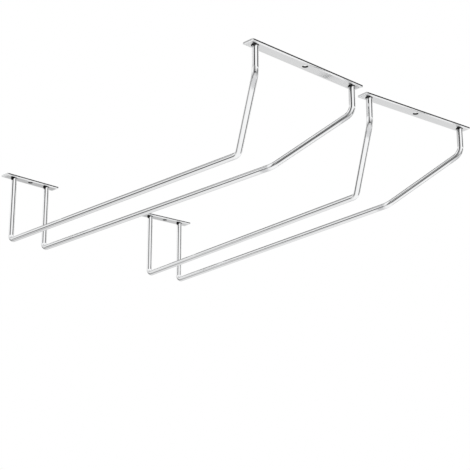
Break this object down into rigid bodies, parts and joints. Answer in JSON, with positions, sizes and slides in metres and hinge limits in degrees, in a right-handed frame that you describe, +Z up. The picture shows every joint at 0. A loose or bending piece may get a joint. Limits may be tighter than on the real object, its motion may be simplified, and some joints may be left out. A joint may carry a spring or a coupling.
{
  "type": "hanging stemware rack pair",
  "caption": "Under-cabinet stemware racks of bent chromed wire welded to flat screw-on strips; stem glasses slide in from the front and hang by their feet on the rails.",
  "frame": {"origin": "on the surface that the strips are screwed to, midway between the two front strips and level with the front edge of the left one", "axes": "+Z up out of the mounting surface, +Y from the front strips to the rear ones, along the left rack's rails, +X to the right seen from the front"},
  "size_m": [0.2377, 0.3484, 0.0604],
  "materials": {
    "strip_chrome": "chrome-plated rolled steel strip, bright with a slight haze",
    "wire_chrome": "chrome-plated drawn steel wire, mirror bright",
    "weld_metal": "thinly plated weld bead, uneven, scorched nearly black"
  },
  "bodies": {
    "root": {"left_rack_front_strip": "strip_chrome", "left_rack_rear_strip": "strip_chrome", "left_rack_left_rail_wire": "wire_chrome", "left_rack_right_rail_wire": "wire_chrome", "left_rack_front_left_weld": "weld_metal", "left_rack_front_right_weld": "weld_metal", "left_rack_rear_left_weld": "weld_metal", "left_rack_rear_right_weld": "weld_metal", "right_rack_front_strip": "strip_chrome", "right_rack_rear_strip": "strip_chrome", "right_rack_left_rail_wire": "wire_chrome", "right_rack_right_rail_wire": "wire_chrome", "right_rack_front_left_weld": "weld_metal", "right_rack_front_right_weld": "weld_metal", "right_rack_rear_left_weld": "weld_metal", "right_rack_rear_right_weld": "weld_metal"}
  },
  "joints": []
}
